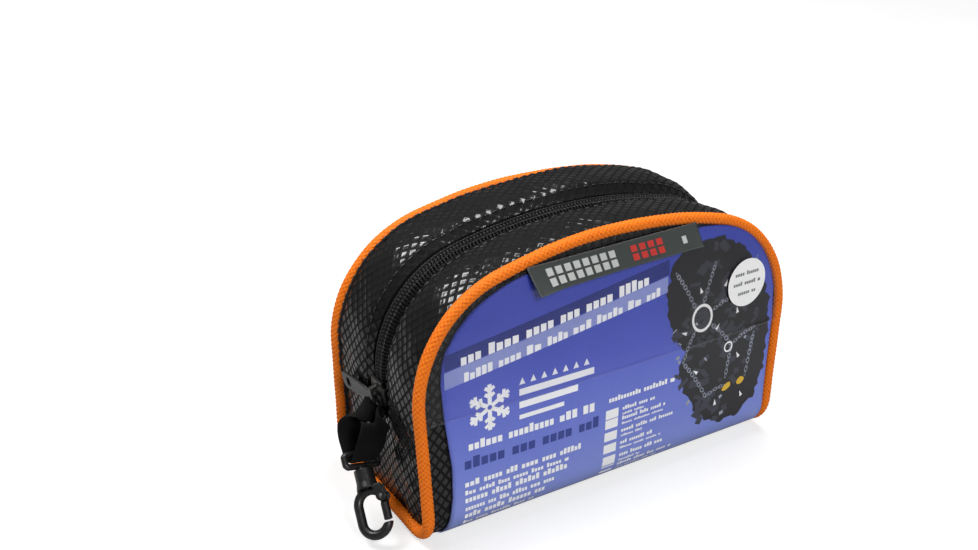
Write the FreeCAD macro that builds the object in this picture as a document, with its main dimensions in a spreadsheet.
import FreeCAD, Part
import Sketcher
import math
import os
from FreeCAD import Vector as V

# Zip-top carry pouch for a pair of slip-on ice cleats, packed with its contents.
# Frame: X to the right along the pouch, Y from the front face to the back, Z up.
# Origin: middle of the footprint, on the surface the pouch stands on.

doc = FreeCAD.newDocument("spike_pouch")

# ------------------------------------------------------------------ sizes
sheet = doc.addObject("Spreadsheet::Sheet", "sizes")
SIZES = [
    ("pouch_width", 150.0),        # piping centre to piping centre, at the shoulder
    ("pouch_height", 96.5),        # ground to the centre of the piping at the top
    ("pouch_depth", 65.0),         # front piping to back piping, at the ground
    ("wall_lean", 0.062),          # inward lean of the front and the back, per mm of height
    ("shoulder_level", 52.0),      # height of the centres of the two shoulder arcs
    ("shoulder_radius", 40.0),
    ("side_taper", 2.7),           # each side stands this much further in at the ground
    ("fold_radius", 10.0),         # front and back turn under with this radius
    ("piping_diameter", 4.0),
    ("panel_thickness", 1.2),
    ("panel_inset", 2.3),          # panel edge to piping centre
    ("gusset_inset", 0.8),         # outer face of the gusset below the piping line
    ("flap_level", 42.0),          # height of the fold line the front opens about
    ("split_gap", 0.2),            # half the gap at the fold line
    ("zip_foot", 38.6),            # lower ends of the zip
    ("tape_width", 12.0),
    ("tape_thickness", 0.6),
    ("tape_inset", 3.4),
    ("coil_inset", 1.4),
    ("coil_height", 1.9),
    ("coil_half_width", 2.9),
    ("coil_slot", 0.55),           # half the slot between the two rows
    ("strip_edge", 6.5),           # gusset strips stop this far from the zip centre
    ("card_thickness", 0.45),
    ("card_half_width", 66.0),
    ("film_thickness", 0.3),
    ("film_level", 47.0),
    ("label_height", 12.0),
    ("slider_length", 10.0),
    ("slider_width", 8.8),
    ("slider_plate", 1.1),
    ("slider_level", 44.3),
    ("pull_length", 22.0),
    ("pull_width", 7.0),
    ("pull_thickness", 0.9),
    ("pull_eye_radius", 1.8),
    ("webbing_width", 9.3),
    ("webbing_thickness", 1.5),
    ("webbing_depth", 8.0),
    ("hook_wire", 3.2),
    ("hook_ring_length", 18.0),
    ("hook_ring_width", 12.4),
    ("barrel_length", 4.4),
    ("barrel_diameter", 6.6),
    ("eye_wire", 2.2),
    ("eye_inner_width", 10.0),
    ("eye_reach", 4.2),            # free length inside the eye
    ("gate_diameter", 2.8),
    ("gate_length", 10.0),
    ("pin_diameter", 1.1),
    ("harness_long", 60.0),        # half axes of the harness ring centre line
    ("harness_short", 30.0),
    ("harness_band", 8.0),
    ("harness_thickness", 4.0),
    ("contents_level", 43.0),      # height of the middle of each packed cleat
    ("link_radius", 3.2),
    ("link_wire", 0.65),
    ("eyelet_radius", 4.0),
    ("eyelet_wire", 0.7),
    ("plate_thickness", 1.3),
    ("spike_length", 9.0),
    ("spike_base", 2.6),
    ("leaflet_width", 118.0),
    ("leaflet_height", 66.0),
    ("leaflet_thickness", 0.8),
]
for row, (alias, value) in enumerate(SIZES, start=1):
    sheet.set("A%d" % row, alias)
    sheet.set("B%d" % row, str(value))
    sheet.setAlias("B%d" % row, alias)
doc.recompute()


class SheetSizes:
    """Gives each driving size as a number: size.pouch_width and so on."""

    def __getattr__(self, alias):
        return float(getattr(sheet, alias))


size = SheetSizes()
PIECES = []


# ------------------------------------------------------------------ general helpers
def keep(obj, label):
    """Mark an object as a piece to check and export."""
    obj.Label = label
    PIECES.append(obj)
    return obj


def feature(label, shape, placement=FreeCAD.Placement()):
    """Keep a shape as a piece, as a bare solid where it has only one."""
    shape = shape.removeSplitter()
    if len(shape.Solids) == 1:
        shape = shape.Solids[0]
    obj = doc.addObject("Part::Feature", label)
    obj.Shape = shape
    obj.Placement = placement
    return keep(obj, label)


def unit(vector):
    return vector * (1.0 / vector.Length)


def frame_at(origin, x_dir, z_dir):
    """Placement from an origin and two square unit directions."""
    return FreeCAD.Placement(origin, FreeCAD.Rotation(x_dir, z_dir.cross(x_dir), z_dir, "ZXY"))


def extruded(points, direction):
    return Part.Face(Part.makePolygon(points + [points[0]])).extrude(direction)


CLEAR_TOP = 140.0   # a level above everything


def slab(z0=0.0, z1=CLEAR_TOP, y0=-90.0, y1=90.0, x0=-120.0, x1=120.0):
    """Box between levels, wider than the pouch unless limited in X or Y."""
    return Part.makeBox(x1 - x0, y1 - y0, z1 - z0, V(x0, y0, z0))


def front_half(z0=0.0):
    return slab(z0, y1=0.0)


# ------------------------------------------------------------------ pouch outline
# Seen from the front: a crown arc, two shoulder arcs tangent to it and two tapering sides.
SHOULDER_R = size.shoulder_radius
SHOULDER_Z = size.shoulder_level
SHOULDER_X = size.pouch_width / 2 - SHOULDER_R
inner_rise = size.pouch_height - SHOULDER_R
CROWN_Z = ((SHOULDER_X ** 2 + SHOULDER_Z ** 2 - inner_rise ** 2)
           / (2 * (SHOULDER_Z - inner_rise)))
CROWN_R = size.pouch_height - CROWN_Z
CROWN_ANGLE = math.atan2(SHOULDER_Z - CROWN_Z, SHOULDER_X)   # where shoulder and crown meet
SIDE_ANGLE = -math.atan2(size.side_taper, SHOULDER_Z)        # where shoulder and side meet

FLAP_BOTTOM = size.flap_level + size.split_gap
BASE_TOP = size.flap_level - size.split_gap
PANEL_T = size.panel_thickness


def arc_point(centre_x, centre_z, radius, angle):
    return V(centre_x + radius * math.cos(angle), 0, centre_z + radius * math.sin(angle))


def arc_edge(centre_x, centre_z, radius, start, end):
    points = [arc_point(centre_x, centre_z, radius, angle)
              for angle in (start, (start + end) / 2, end)]
    return Part.Arc(*points).toShape()


def arch_arcs(end_angle, offset=0.0):
    """The three arcs, right to left: centre X, centre Z, radius, start angle, end angle."""
    shoulder = SHOULDER_R + offset
    crown_end = math.pi - CROWN_ANGLE
    return [(SHOULDER_X, SHOULDER_Z, shoulder, end_angle, CROWN_ANGLE),
            (0.0, CROWN_Z, CROWN_R + offset, CROWN_ANGLE, crown_end),
            (-SHOULDER_X, SHOULDER_Z, shoulder, crown_end, math.pi - end_angle)]


def side_top(offset=0.0):
    """Upper end of the right side, moved outwards by offset."""
    return arc_point(SHOULDER_X, SHOULDER_Z, SHOULDER_R + offset, SIDE_ANGLE)


def side_x(z, offset=0.0):
    """Half width of the outline at a level on the sides."""
    top = side_top(offset)
    return top.x - (top.z - z) * math.tan(-SIDE_ANGLE)


def arch_prism(offset):
    """The outline moved outwards by offset, run through the pouch from front to back."""
    z_low = -5.0
    half_y = 60.0
    top = side_top(offset)
    x_low = side_x(z_low, offset)
    edges = [Part.makeLine(V(x_low, 0, z_low), top)]
    edges += [arc_edge(*arc) for arc in arch_arcs(SIDE_ANGLE, offset)]
    edges += [Part.makeLine(V(-top.x, 0, top.z), V(-x_low, 0, z_low)),
              Part.makeLine(V(-x_low, 0, z_low), V(x_low, 0, z_low))]
    face = Part.Face(Part.Wire(edges))
    face.translate(V(0, -half_y, 0))
    return face.extrude(V(0, 2 * half_y, 0))


def wall_y(z, inset=0.0):
    """Distance of the leaning back wall from the middle; the front mirrors it."""
    return size.pouch_depth / 2 - inset - size.wall_lean * z


def profile_prism(inset, bottom, radius):
    """Side profile of the pouch (leaning walls, rounded underneath), set inwards."""
    half_x = 100.0
    solid = extruded([V(-half_x, side * wall_y(z, inset), z)
                      for side, z in ((-1, CLEAR_TOP), (-1, bottom), (1, bottom), (1, CLEAR_TOP))],
                     V(2 * half_x, 0, 0))
    if radius > 0.1:
        edges = [e for e in solid.Edges
                 if abs(e.BoundBox.ZMin - bottom) < 1e-6 and abs(e.BoundBox.ZMax - bottom) < 1e-6
                 and e.BoundBox.XLength > 50]
        solid = solid.makeFillet(radius, edges)
    return solid


def wall_layer(inset, thickness, bottom=0.0, fold=0.0):
    """Sheet that follows the profile; inset and fold radius are those of its inner face."""
    outer_fold = fold + thickness if fold else 0.0
    outer = profile_prism(inset - thickness, bottom, outer_fold)
    return outer.cut(profile_prism(inset, bottom + thickness, fold))


# ------------------------------------------------------------------ mesh panels and gusset
def mesh_panels():
    """One panel for lower front, underside and back, and a front panel above the fold line."""
    wrap_bottom = size.card_thickness + 0.15
    shell = wall_layer(PANEL_T / 2, PANEL_T, wrap_bottom, size.fold_radius)
    shell = shell.common(arch_prism(-size.panel_inset))
    feature("wrap_panel", shell.cut(front_half(BASE_TOP)))
    feature("front_panel", shell.common(front_half(FLAP_BOTTOM)))


def gusset():
    """Solid mesh ends below the fold line, strips beside the zip above it."""
    clear_inset = size.panel_inset + 0.1
    outer_offset = -size.gusset_inset
    band = arch_prism(outer_offset).cut(arch_prism(outer_offset - PANEL_T))
    band = band.common(profile_prism(clear_inset, 2.1 + clear_inset,
                                     size.fold_radius - size.panel_inset))
    zip_slot = slab(size.zip_foot - 0.6, 60, -5.3, 5.3)
    feature("gusset_end_left", band.common(slab(0, BASE_TOP, x1=0)).cut(zip_slot))
    feature("gusset_end_right", band.common(slab(0, BASE_TOP, x0=0)).cut(zip_slot))
    upper = band.common(slab(FLAP_BOTTOM))
    feature("gusset_strip_rear", upper.common(slab(y0=size.strip_edge)))
    feature("gusset_strip_front", upper.common(slab(y1=-size.strip_edge)))


mesh_panels()
gusset()


# ------------------------------------------------------------------ zip
# The zip line keeps the shoulder arc down to its lower end, so a slider can run on one centre.
def zip_prism(offset, y0, y1):
    arcs = arch_arcs(-math.radians(26), offset)
    edges = [arc_edge(*arc) for arc in arcs]
    right = arc_point(*arcs[0][:4])
    left = arc_point(*arcs[2][:3], arcs[2][4])
    face = Part.Face(Part.Wire(edges + [Part.makeLine(left, right)]))
    face.translate(V(0, y0, 0))
    return face.extrude(V(0, y1 - y0, 0))


def zip_band(inset, thickness, y0, y1, z0):
    """Band along the zip line above level z0; inset is that of its outer face."""
    ring = zip_prism(-inset, y0, y1).cut(zip_prism(-inset - thickness, y0, y1))
    return ring.common(slab(z0))


def zipper():
    foot = size.zip_foot
    slot = size.coil_slot
    # inset, thickness and outer width of each half
    tape = (size.tape_inset, size.tape_thickness, size.tape_width)
    coil = (size.coil_inset, size.coil_height, size.coil_half_width)

    def rear(inset, thickness, width):
        return zip_band(inset, thickness, slot, width, foot)

    def front(inset, thickness, width, z0):
        return zip_band(inset, thickness, -width, -slot, z0)

    # the front half of the zip lifts off above this level
    park = size.slider_level + size.slider_length / 2 + 1.0
    stop_top = foot + 3.4
    stop_room = slab(0, stop_top, x0=0)
    feature("zipper_tape_rear", rear(*tape))
    feature("zipper_tape_front", front(*tape, park + size.split_gap))
    feature("zipper_coil_rear", rear(*coil).cut(stop_room))
    feature("zipper_coil_front", front(*coil, park + size.split_gap))
    # Both lower ends of the front half of the zip stay sewn into the gusset ends.
    lifted = slab(park - size.split_gap)
    feature("zipper_tape_ends", front(*tape, foot).cut(lifted))
    feature("zipper_coil_ends", front(*coil, foot).cut(lifted).cut(stop_room))

    lip = 0.3
    stop_y = size.coil_half_width + lip
    stop = zip_band(size.coil_inset - lip, size.coil_height + lip, -stop_y, stop_y, foot + 0.4)
    feature("zipper_end_stop", stop.cut(slab(stop_top - 0.2)).common(slab(x0=0)))


zipper()


# ------------------------------------------------------------------ piping
def arch_seam(wall, z_from):
    """Seam over the arch, left to right, on the front (wall -1) or the back (wall 1)."""
    side_steps = 6
    arc_steps = 21
    top = side_top()
    rise = top.z - z_from
    points = []
    for i in range(side_steps):
        z = z_from + rise * i / side_steps
        points.append(V(-side_x(z), 0, z))
    for centre_x, centre_z, radius, start, end in reversed(arch_arcs(SIDE_ANGLE)):
        for i in range(arc_steps):
            angle = end + (start - end) * i / arc_steps
            points.append(arc_point(centre_x, centre_z, radius, angle))
    for i in range(side_steps + 1):
        z = top.z - rise * i / side_steps
        points.append(V(side_x(z), 0, z))
    return [V(p.x, wall * wall_y(p.z), p.z) for p in points]


def under_seam(side, z_top):
    """Seam down the front, under the left (-1) or right (1) edge and up the back."""
    wall_steps = 4
    turn_steps = 8
    radius = size.fold_radius
    lean = math.atan(size.wall_lean)
    low_z = size.piping_diameter / 2 + 0.35
    # centre of the turn: tangent to the leaning front line and to the level line at low_z
    turn_z = low_z + radius
    turn_y = -wall_y(turn_z) + radius / math.cos(lean)
    turn_top = turn_z + radius * math.sin(lean)
    front = []
    for i in range(wall_steps):
        z = z_top + (turn_top - z_top) * i / wall_steps
        front.append((-wall_y(z), z))
    start = math.pi - lean
    for i in range(turn_steps + 1):
        angle = start + (1.5 * math.pi - start) * i / turn_steps
        front.append((turn_y + radius * math.cos(angle), turn_z + radius * math.sin(angle)))
    middle = [(turn_y * (1 - 2 * i / 3.0), low_z) for i in (1, 2)]
    back = [(-y, z) for y, z in reversed(front)]
    return [V(side * side_x(z), y, z) for y, z in front + middle + back]


def cord(points):
    """Round piping through the points, with flat ends."""
    curve = Part.BSplineCurve()
    curve.interpolate(points)
    path = Part.Wire([curve.toShape()])
    start_dir = curve.tangent(curve.FirstParameter)[0]
    circle_edge = Part.Circle(points[0], start_dir, size.piping_diameter / 2).toShape()
    return path.makePipeShell([Part.Wire([circle_edge])], True, False)


def piping():
    feature("piping_front", cord(arch_seam(-1, FLAP_BOTTOM)))
    back = arch_seam(1, BASE_TOP)
    left_run, back_run, right_run = [
        cord(points) for points in (under_seam(-1, BASE_TOP), back, under_seam(1, BASE_TOP))]
    joints = [Part.makeSphere(size.piping_diameter / 2, back[i]) for i in (0, -1)]
    feature("piping_rear", left_run.fuse([back_run, right_run] + joints))


piping()


# ------------------------------------------------------------------ card, film, label, sticker
def card():
    """Printed card outside the mesh, split at the fold line."""
    back_top = 52.0
    half_width = size.card_half_width
    sheet_layer = wall_layer(-PANEL_T / 2 - 0.15, size.card_thickness, 0.0,
                             size.fold_radius + 1.45)
    sheet_layer = sheet_layer.common(slab(-1, x0=-half_width, x1=half_width))
    feature("card_wrap", sheet_layer.cut(front_half(BASE_TOP)).cut(slab(back_top)))
    # the header ends in a low arch under the film
    feature("card_header", sheet_layer.common(front_half(FLAP_BOTTOM)).common(arch_prism(-10.5)))


def film_label_and_sticker():
    """Window film on the front, with a label and a round sticker over it."""
    on_card = -PANEL_T / 2 - size.card_thickness
    on_film = on_card - size.film_thickness
    film = wall_layer(on_card - 0.30, size.film_thickness)
    film = film.common(front_half(size.film_level)).common(arch_prism(-size.panel_inset))
    feature("window_film", film)

    left_z = 80.2
    right_z = 82.6
    # label corners (x, z), from the lower left, counter-clockwise as seen from the front
    corners = [(-31.8, left_z), (36.8, right_z),
               (34.5, right_z + size.label_height - 3.2),
               (-36.0, left_z + size.label_height - 0.4)]
    label_area = extruded([V(x, -60, z) for x, z in corners], V(0, 120, 0))
    label = wall_layer(on_film - 0.45, 0.6).common(front_half()).common(label_area)
    feature("woven_label", label.common(arch_prism(-size.panel_inset - 0.1)))

    disc = Part.makeCylinder(9.0, 120, V(57, -60, 65.3), V(0, 1, 0))
    sticker = wall_layer(on_film - 0.42, 0.2).common(front_half())
    feature("round_sticker", sticker.common(disc))


card()
film_label_and_sticker()


# ------------------------------------------------------------------ part design helpers
def body(label):
    return keep(doc.addObject("PartDesign::Body", label), label)


def sketch(owner, name, role):
    """Sketch on one of the body's own base planes."""
    sk = owner.newObject("Sketcher::SketchObject", name)
    base_plane = next(f for f in owner.Origin.OriginFeatures if f.Role == role)
    sk.AttachmentSupport = [(base_plane, "")]
    sk.MapMode = "FlatFace"
    return sk


def closed_chain(sk, curves):
    """Add curves joined end to start, the last one to the first."""
    ids = [sk.addGeometry(curve, False) for curve in curves]
    for i, curve_id in enumerate(ids):
        next_id = ids[(i + 1) % len(ids)]
        sk.addConstraint(Sketcher.Constraint("Coincident", curve_id, 2, next_id, 1))


def polygon(sk, points):
    ends = points[1:] + points[:1]
    closed_chain(sk, [Part.LineSegment(V(a[0], a[1], 0), V(b[0], b[1], 0))
                      for a, b in zip(points, ends)])


def racetrack(sk, half_width, z0, z1):
    """Racetrack round two centres on the sketch's upright axis."""
    upper = Part.Circle(V(0, z1, 0), V(0, 0, 1), half_width)
    lower = Part.Circle(V(0, z0, 0), V(0, 0, 1), half_width)
    closed_chain(sk, [
        Part.LineSegment(V(half_width, z0, 0), V(half_width, z1, 0)),
        Part.ArcOfCircle(upper, 0, math.pi),
        Part.LineSegment(V(-half_width, z1, 0), V(-half_width, z0, 0)),
        Part.ArcOfCircle(lower, math.pi, 2 * math.pi)])


def circle(sk, x, y, expression, radius):
    """Circle whose radius is bound to an expression that gives the same radius."""
    curve_id = sk.addGeometry(Part.Circle(V(x, y, 0), V(0, 0, 1), radius), False)
    index = sk.addConstraint(Sketcher.Constraint("Radius", curve_id, radius))
    sk.setExpression("Constraints[%d]" % index, expression)


def pad(owner, sk, expression):
    result = owner.newObject("PartDesign::Pad", owner.Name + "_Pad")
    result.Profile = sk
    result.setExpression("Length", expression)
    result.SideType = "Symmetric"
    sk.Visibility = False


def pocket(owner, sk, name="Cut"):
    """Cut right through, both ways."""
    result = owner.newObject("PartDesign::Pocket", owner.Name + "_" + name)
    result.Profile = sk
    result.Type = 1
    result.SideType = "Symmetric"
    sk.Visibility = False


# ------------------------------------------------------------------ slider
# Built with -X outwards from the gusset, Z along the zip, Y across it; set at the left end.
run_radius = SHOULDER_R - size.coil_inset - size.coil_height / 2
slider_turn = math.asin((SHOULDER_Z - size.slider_level) / run_radius)
SLIDER_POS = V(-(SHOULDER_X + run_radius * math.cos(slider_turn)), 0, size.slider_level)
SLIDER_ROT = FreeCAD.Rotation(V(0, 1, 0), -math.degrees(slider_turn))
TOP_PLATE_X = -(size.coil_height / 2 + 0.35 + size.slider_plate / 2)
SLIDER_FACE_X = TOP_PLATE_X - size.slider_plate / 2


def slider_plate(middle_x):
    end_z = size.slider_length / 2
    half = size.slider_width / 2
    x = middle_x - size.slider_plate / 2
    # one edge of the plate (y, z), top to bottom
    edge = [(half * 0.72, end_z), (half, end_z * 0.35), (half, -end_z * 0.55),
            (half * 0.62, -end_z)]
    mirrored = [(-y, z) for y, z in reversed(edge)]
    return extruded([V(x, y, z) for y, z in edge + mirrored], V(size.slider_plate, 0, 0))


def zipper_slider():
    low_plate_x = 0.1 + size.tape_thickness - TOP_PLATE_X
    post = Part.makeBox(low_plate_x - TOP_PLATE_X, 0.7, 2.4,
                        V(TOP_PLATE_X, -0.35, -size.slider_length / 2 + 0.1))
    # bridge for the pull: (x from the slider's face, z), outer line then inner line
    bridge_line = [(0.2, -3.4), (-2.5, -3.1), (-2.9, -1.6), (-2.9, 1.6), (-2.5, 3.1),
                   (0.2, 3.4), (0.2, 2.2), (-1.7, 1.9), (-1.7, -1.9), (0.2, -2.2)]
    bridge = extruded([V(SLIDER_FACE_X + x, -0.8, z) for x, z in bridge_line], V(0, 1.6, 0))
    half = size.slider_width / 2
    flanges = [Part.makeBox(0.62 - TOP_PLATE_X, 1.0, 6.0, V(TOP_PLATE_X, y, -3.3))
               for y in (0.05 - half, half - 1.05)]
    slider = slider_plate(TOP_PLATE_X).fuse(
        [slider_plate(low_plate_x), post, bridge] + flanges)
    feature("zipper_slider", slider, FreeCAD.Placement(SLIDER_POS, SLIDER_ROT))


def zipper_pull():
    """Tapered plate with an eye round the slider's bridge; Z runs along it from the eye."""
    half = size.pull_width / 2
    length = size.pull_length
    pull = body("zipper_pull")
    sk = sketch(pull, "pull_outline", "XZ_Plane")
    # right edge (x, z), eye end to free end
    edge = [(1.7, -2.5), (2.5, -0.8), (2.4, 3.6), (half * 0.8, 6.6), (half, length - 3.2),
            (half * 0.55, length - 1.6)]
    polygon(sk, edge + [(-x, z) for x, z in reversed(edge)])
    pad(pull, sk, "sizes.pull_thickness")
    sk = sketch(pull, "pull_eye", "XZ_Plane")
    circle(sk, 0, 0, "sizes.pull_eye_radius", size.pull_eye_radius)
    pocket(pull, sk)
    sk = sketch(pull, "pull_hole", "XZ_Plane")
    polygon(sk, [(-1.6, length - 6.4), (1.6, length - 6.4),
                 (1.6, length - 4.4), (-1.6, length - 4.4)])
    pocket(pull, sk, "Slot")

    pull_dir = unit(V(-0.130, 0.985, -0.050))
    eye_centre = SLIDER_ROT.multVec(V(SLIDER_FACE_X - 0.85, 0, -2.65)) + SLIDER_POS
    across = unit(pull_dir.cross(SLIDER_ROT.multVec(V(1, 0, 0))))
    pull.Placement = frame_at(eye_centre, across, pull_dir)


zipper_slider()
zipper_pull()

# ------------------------------------------------------------------ hook frames
# Hook frame: origin at the barrel's ring-side face, Z to the tip.
HOOK_TIP = V(-86.1, -22.8, 4.1)
EYE_END = V(-82.1, -0.5, 23.8)
WEBBING_ANCHOR = V(-80.0, 1.4, 33.2)
RING_SPIN = math.radians(50)          # the ring is turned this far from the eye
BARREL_GAP = 0.15                     # between the eye's near bar and the barrel
EYE_R = size.eye_wire / 2
HOOK_DIR = unit(HOOK_TIP - EYE_END)
BAR_CENTRE = EYE_END + HOOK_DIR * EYE_R
WEBBING_DIR = unit(WEBBING_ANCHOR - BAR_CENTRE)
# the eye's bar lies square to the webbing and to the hook
BAR_DIR = unit(WEBBING_DIR.cross(HOOK_DIR))
RING_DIR = BAR_DIR * math.cos(RING_SPIN) + HOOK_DIR.cross(BAR_DIR) * math.sin(RING_SPIN)
HOOK_ORIGIN = EYE_END + HOOK_DIR * (size.eye_wire + size.eye_reach + size.barrel_length
                                    + BARREL_GAP)
RING_FRAME = frame_at(HOOK_ORIGIN, RING_DIR, HOOK_DIR)

RING_R = (size.hook_ring_width - size.hook_wire) / 2     # end arcs of the ring's centre line
RING_Z0 = size.hook_wire / 2 + 1.3 + RING_R              # centre of the arc near the barrel
RING_Z1 = RING_Z0 + size.hook_ring_length - size.hook_wire - 2 * RING_R
PIVOT_X = RING_R - 0.1
PIVOT_Z = RING_Z0 - 1.6


def y_cylinder(radius, y, length):
    """Cylinder along Y about the gate's pivot."""
    return Part.makeCylinder(radius, length, V(PIVOT_X, y, PIVOT_Z), V(0, 1, 0))


def pivot_frame(y):
    """Frame on the pivot at a distance y, with Z along the ring frame's -Y."""
    return RING_FRAME.multiply(
        FreeCAD.Placement(V(PIVOT_X, y, PIVOT_Z), FreeCAD.Rotation(V(1, 0, 0), 90)))


def wire_loop(points, radius):
    """Closed loop of round bar through the points, with spheres at the corners."""
    solid = None
    for start, end in zip(points, points[1:] + points[:1]):
        run = end - start
        bar = Part.makeCylinder(radius, run.Length, start, run)
        corner = Part.makeSphere(radius, start)
        solid = bar.fuse(corner) if solid is None else solid.fuse([bar, corner])
    return solid


def swivel_eye():
    """Squared wire loop with a stem that turns in the barrel."""
    barrel_end = -(size.barrel_length + BARREL_GAP)
    far_z = barrel_end - size.eye_reach - EYE_R
    near_z = barrel_end - EYE_R
    half = size.eye_inner_width / 2 + EYE_R
    corner = 0.7
    points = [V(x, 0, z) for x, z in (
        (-half, far_z + corner), (-half + corner, far_z),
        (half - corner, far_z), (half, far_z + corner),
        (half, near_z - corner), (half - corner, near_z),
        (-half + corner, near_z), (-half, near_z - corner))]
    stem_z = barrel_end - 0.6
    stem = Part.makeCylinder(1.6, 0.5 - stem_z, V(0, 0, stem_z))
    head = Part.makeCylinder(2.5, 1.0, V(0, 0, 0.35))
    eye = wire_loop(points, EYE_R).fuse(stem).fuse(head)
    feature("hook_swivel_eye", eye, frame_at(HOOK_ORIGIN, BAR_DIR, HOOK_DIR))


def hook_ring():
    """Round-bar oval in the XZ plane."""
    edges = [Part.makeLine(V(RING_R, 0, RING_Z0), V(RING_R, 0, RING_Z1)),
             Part.Arc(V(RING_R, 0, RING_Z1), V(0, 0, RING_Z1 + RING_R),
                      V(-RING_R, 0, RING_Z1)).toShape(),
             Part.makeLine(V(-RING_R, 0, RING_Z1), V(-RING_R, 0, RING_Z0)),
             Part.Arc(V(-RING_R, 0, RING_Z0), V(0, 0, RING_Z0 - RING_R),
                      V(RING_R, 0, RING_Z0)).toShape()]
    section = Part.Circle(V(RING_R, 0, RING_Z0), V(0, 0, 1), size.hook_wire / 2).toShape()
    return Part.Wire(edges).makePipeShell([Part.Wire([section])], True, False)


def hook_body():
    """Oval ring with a barrel, a mouth in one side and a fork for the gate."""
    length = size.barrel_length
    radius = size.barrel_diameter / 2
    mouth = Part.makeBox(6.0, 8.0, size.gate_length + 0.8,
                         V(PIVOT_X - 2.45, -4, PIVOT_Z - 2.0))
    barrel = Part.makeCylinder(radius, length, V(0, 0, -length))
    neck = Part.makeCone(radius, radius + 0.5, 2.4, V(0, 0, 0))
    cavity = Part.makeCylinder(2.6, 2.4, V(0, 0, 0.25))
    bore = Part.makeCylinder(1.65, length + 1.0, V(0, 0, -length - 0.5))
    fork_y = (1.1, -2.1)
    lugs = [y_cylinder(1.9, y, 1.0) for y in fork_y]
    feet = [Part.makeBox(3.0, 1.0, 3.4, V(PIVOT_X - 2.2, y, PIVOT_Z - 4.2)) for y in fork_y]
    pin_hole = y_cylinder(size.pin_diameter / 2 + 0.02, -3, 6)
    hook = hook_ring().cut(mouth).fuse([barrel, neck] + lugs + feet)
    feature("hook_body", hook.cut(cavity).cut(bore).cut(pin_hole), RING_FRAME)


def hook_gate():
    """Round bar thinned to a tongue at the pivot, with a knuckle on the pin."""
    gate = Part.makeCylinder(size.gate_diameter / 2, size.gate_length - 2.6,
                             V(PIVOT_X, 0, PIVOT_Z + 0.6))
    for y, width in ((0.0, 2.1), (-3.0, 2.0)):
        gate = gate.cut(Part.makeBox(6, width, 3.8, V(PIVOT_X - 3, y, PIVOT_Z - 1.6)))
    knuckle = y_cylinder(1.6, -1.0, 1.0)
    web = Part.makeBox(2.4, 1.0, 2.4, V(PIVOT_X - 1.2, -1.0, PIVOT_Z))
    gate = gate.fuse([knuckle, web]).cut(y_cylinder(size.pin_diameter / 2 + 0.05, -3, 6))
    feature("hook_gate", gate, RING_FRAME)


def gate_pin():
    half_length = 2.1
    pin = doc.addObject("Part::Cylinder", "hook_gate_pin")
    pin.setExpression("Radius", "sizes.pin_diameter / 2")
    pin.Height = 2 * half_length
    pin.Placement = pivot_frame(half_length)
    keep(pin, "hook_gate_pin")


def gate_spring():
    """Flat-wound spring: an open turn round the pin, with one straight leg."""
    width = 0.7
    spring = Part.makeCylinder(1.15, width).cut(Part.makeCylinder(0.72, width))
    spring = spring.cut(Part.makeBox(0.5, 1.4, width, V(-0.1, -1.5, 0)))
    spring = spring.fuse(Part.makeBox(1.7, 0.3, width, V(-1.6, 0.80, 0)))
    feature("hook_gate_spring", spring, pivot_frame(0.93))


swivel_eye()
hook_body()
hook_gate()
gate_pin()
gate_spring()


# ------------------------------------------------------------------ webbing
def webbing_loop():
    """Flattened loop of webbing from the eye's bar to the gusset."""
    half = size.webbing_depth / 2
    inner = half - size.webbing_thickness
    low_z = inner - EYE_R - 0.25
    high_z = (WEBBING_ANCHOR - BAR_CENTRE).Length
    loop = body("webbing_loop")
    sk = sketch(loop, "loop_outline", "YZ_Plane")
    racetrack(sk, half, low_z, high_z)
    racetrack(sk, inner, low_z, high_z)
    pad(loop, sk, "sizes.webbing_width")
    loop.Placement = frame_at(BAR_CENTRE, BAR_DIR, WEBBING_DIR)


def bar_tack():
    """Stitching that holds the webbing on the gusset."""
    tack = doc.addObject("Part::Box", "webbing_bartack")
    tack.Length = 0.8
    tack.Width = 7.0
    tack.Height = 2.4
    gusset_x = side_x(35.0) - size.gusset_inset
    tack.Placement = FreeCAD.Placement(V(-gusset_x - 0.95, -2.0, 34.0), FreeCAD.Rotation())
    keep(tack, "webbing_bartack")


webbing_loop()
bar_tack()


# ------------------------------------------------------------------ contents
def leaflet():
    leaf = doc.addObject("Part::Box", "instruction_leaflet")
    leaf.setExpression("Length", "sizes.leaflet_width")
    leaf.setExpression("Width", "sizes.leaflet_thickness")
    leaf.setExpression("Height", "sizes.leaflet_height")
    leaf.Placement = FreeCAD.Placement(V(-size.leaflet_width / 2, -26.6, 7.0),
                                       FreeCAD.Rotation())
    keep(leaf, "instruction_leaflet")


# Each plate: name, chain angles round the harness (degrees), X its chains aim at, spikes.
PLATES = [
    ("forefoot", (104, 152, 208, 256), -26.0, 6),
    ("heel", (28, 76, 284, 332), 28.0, 4),
]
HARNESS_Y = 20.6        # distance of each harness from the pouch's middle
PLATE_STEP = 6.4        # harness to plate, towards the other cleat
HOLE_INSET = 1.6        # eyelet hole inside the harness centre line
LINK_PITCH = 4.9
FIRST_LINK = (size.link_radius + size.eyelet_radius
              - size.link_wire - size.eyelet_wire - 0.2)   # eyelet centre to first link
CHAIN_RUN = FIRST_LINK + LINK_PITCH + size.link_radius     # eyelet centre to plate hole
Y_AXIS = V(0, 1, 0)


def torus(name, part, centre, axis):
    """Wire ring sized by the part's radius and wire aliases."""
    ring = doc.addObject("Part::Torus", name)
    ring.setExpression("Radius1", "sizes.%s_radius" % part)
    ring.setExpression("Radius2", "sizes.%s_wire" % part)
    ring.Placement = FreeCAD.Placement(centre, FreeCAD.Rotation(V(0, 0, 1), axis))
    return ring


def compound(label, objects):
    result = doc.addObject("Part::Compound", label)
    result.Links = objects
    keep(result, label)


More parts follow.
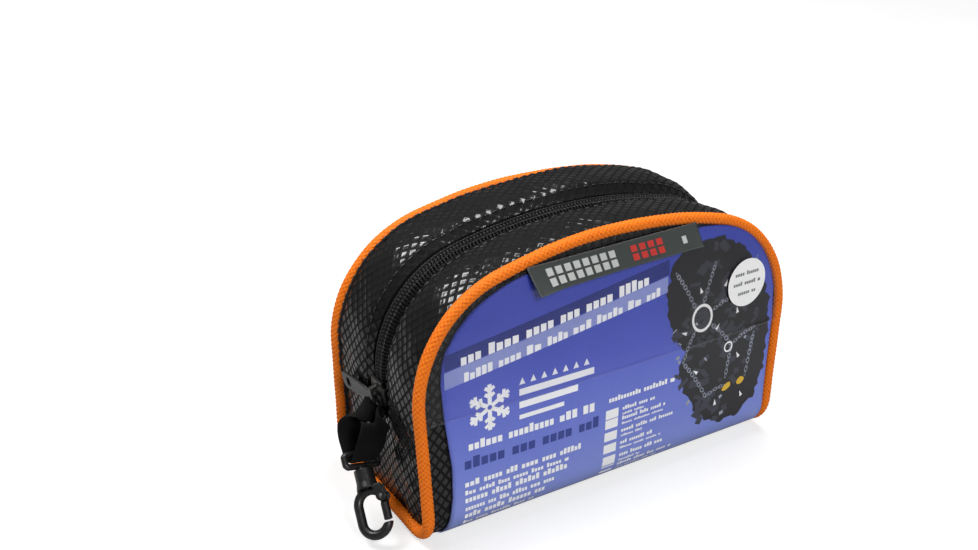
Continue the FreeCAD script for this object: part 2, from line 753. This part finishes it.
def chain(name, degrees, aim_x, harness_y, plate_y):
    """Eyelet ring and two links from harness to plate.

    Returns the harness hole, the ring, the links, the plate hole and the inward direction.
    """
    angle = math.radians(degrees)
    harness_hole = V((size.harness_long - HOLE_INSET) * math.cos(angle), 0,
                     (size.harness_short - HOLE_INSET) * math.sin(angle))
    inward = unit(V(aim_x, 0, 0) - harness_hole)
    eyelet = harness_hole + inward * size.eyelet_radius + V(0, harness_y, size.contents_level)
    ring = torus("eyelet_" + name, "eyelet", eyelet, inward.cross(Y_AXIS))
    step = plate_y - harness_y
    plate_hole = eyelet + inward * math.sqrt(CHAIN_RUN ** 2 - step ** 2) + V(0, step, 0)
    run_dir = unit(plate_hole - eyelet)
    across = Y_AXIS.cross(inward)
    first = eyelet + run_dir * FIRST_LINK
    second = first + run_dir * LINK_PITCH
    links = [torus("link_%s_a" % name, "link", first, unit(run_dir.cross(across))),
             torus("link_%s_b" % name, "link", second, across)]
    return harness_hole, ring, links, plate_hole, inward


def spiked_plate(name, tag, corners, plate_y, side, spike_count):
    """Plate with a corner round each chain hole, spikes pointing to the other cleat."""
    outline = []
    for hole, inward in corners:
        edge = hole - inward * 2.5
        half_corner = inward.cross(Y_AXIS) * 2.4
        outline += [edge + half_corner, edge - half_corner]
    mid_x = sum(p.x for p in outline) / len(outline)
    mid_z = sum(p.z for p in outline) / len(outline)
    points = [(p.x - mid_x, p.z - mid_z) for p in outline]
    points.sort(key=lambda p: math.atan2(p[1], p[0]))
    holes = [(hole.x - mid_x, hole.z - mid_z) for hole, _ in corners]

    plate = body("%s_plate_%s" % (name, tag))
    sk = sketch(plate, "%s_outline_%s" % (name, tag), "XZ_Plane")
    polygon(sk, points)
    pad(plate, sk, "sizes.plate_thickness")
    sk = sketch(plate, "%s_holes_%s" % (name, tag), "XZ_Plane")
    for x, z in holes:
        circle(sk, x, z, "sizes.link_wire + 0.95", size.link_wire + 0.95)
    circle(sk, 0, 0, "sizes.spike_base * 1.3", size.spike_base * 1.3)
    pocket(plate, sk)

    spike_ring = min(math.hypot(x, z) for x, z in holes) - 3.6
    for i in range(spike_count):
        angle = 2 * math.pi * (i + 0.5) / spike_count
        sk = sketch(plate, "%s_spike_%s_%d" % (name, tag, i), "XZ_Plane")
        circle(sk, spike_ring * math.cos(angle), spike_ring * math.sin(angle),
               "sizes.spike_base", size.spike_base)
        spike = plate.newObject("PartDesign::Pad", "%s_spike_pad_%s_%d" % (name, tag, i))
        spike.Profile = sk
        spike.setExpression("Length", "sizes.spike_length")
        spike.TaperAngle = -13.0
        spike.Reversed = side < 0
        sk.Visibility = False
    plate.Placement = FreeCAD.Placement(V(mid_x, plate_y, mid_z), FreeCAD.Rotation())


def cleat(tag, side):
    """One cleat, packed towards the back (side 1) or the front (side -1)."""
    harness_y = side * HARNESS_Y
    plate_y = harness_y - side * PLATE_STEP
    harness = body("harness_" + tag)
    sk = sketch(harness, "harness_outline_" + tag, "XZ_Plane")
    for offset in (size.harness_band / 2, -size.harness_band / 2):
        sk.addGeometry(Part.Ellipse(V(size.harness_long + offset, 0, 0),
                                    V(0, size.harness_short + offset, 0), V(0, 0, 0)), False)
    pad(harness, sk, "sizes.harness_thickness")

    hole_sketch = sketch(harness, "harness_holes_" + tag, "XZ_Plane")
    rings = []
    links = []
    corners = {}
    for name, angles, aim_x, _ in PLATES:
        corners[name] = []
        for i, degrees in enumerate(angles):
            harness_hole, ring, pair, plate_hole, inward = chain(
                "%s_%s_%d" % (tag, name, i), degrees, aim_x, harness_y, plate_y)
            circle(hole_sketch, harness_hole.x, harness_hole.z,
                   "sizes.eyelet_wire + 0.75", size.eyelet_wire + 0.75)
            rings.append(ring)
            links += pair
            corners[name].append((plate_hole, inward))
    pocket(harness, hole_sketch)
    harness.Placement = FreeCAD.Placement(V(0, harness_y, size.contents_level),
                                          FreeCAD.Rotation())
    compound("eyelet_rings_" + tag, rings)
    compound("chain_links_" + tag, links)
    for name, _, _, spike_count in PLATES:
        spiked_plate(name, tag, corners[name], plate_y, side, spike_count)


leaflet()
cleat("a", 1)
cleat("b", -1)

# ------------------------------------------------------------------ checks and output
doc.recompute()
bad = []
for obj in doc.Objects:
    if any(state in ("Invalid", "Error") for state in obj.State):
        bad.append("%s %s" % (obj.Name, obj.State))
for piece in PIECES:
    if piece.Shape.isNull() or not piece.Shape.isValid() or not piece.Shape.Solids:
        bad.append("%s has no valid solid" % piece.Label)
if bad:
    raise RuntimeError("; ".join(bad))
os.makedirs("parts", exist_ok=True)
for piece in PIECES:
    piece.Shape.exportStep("parts/%s.step" % piece.Label)
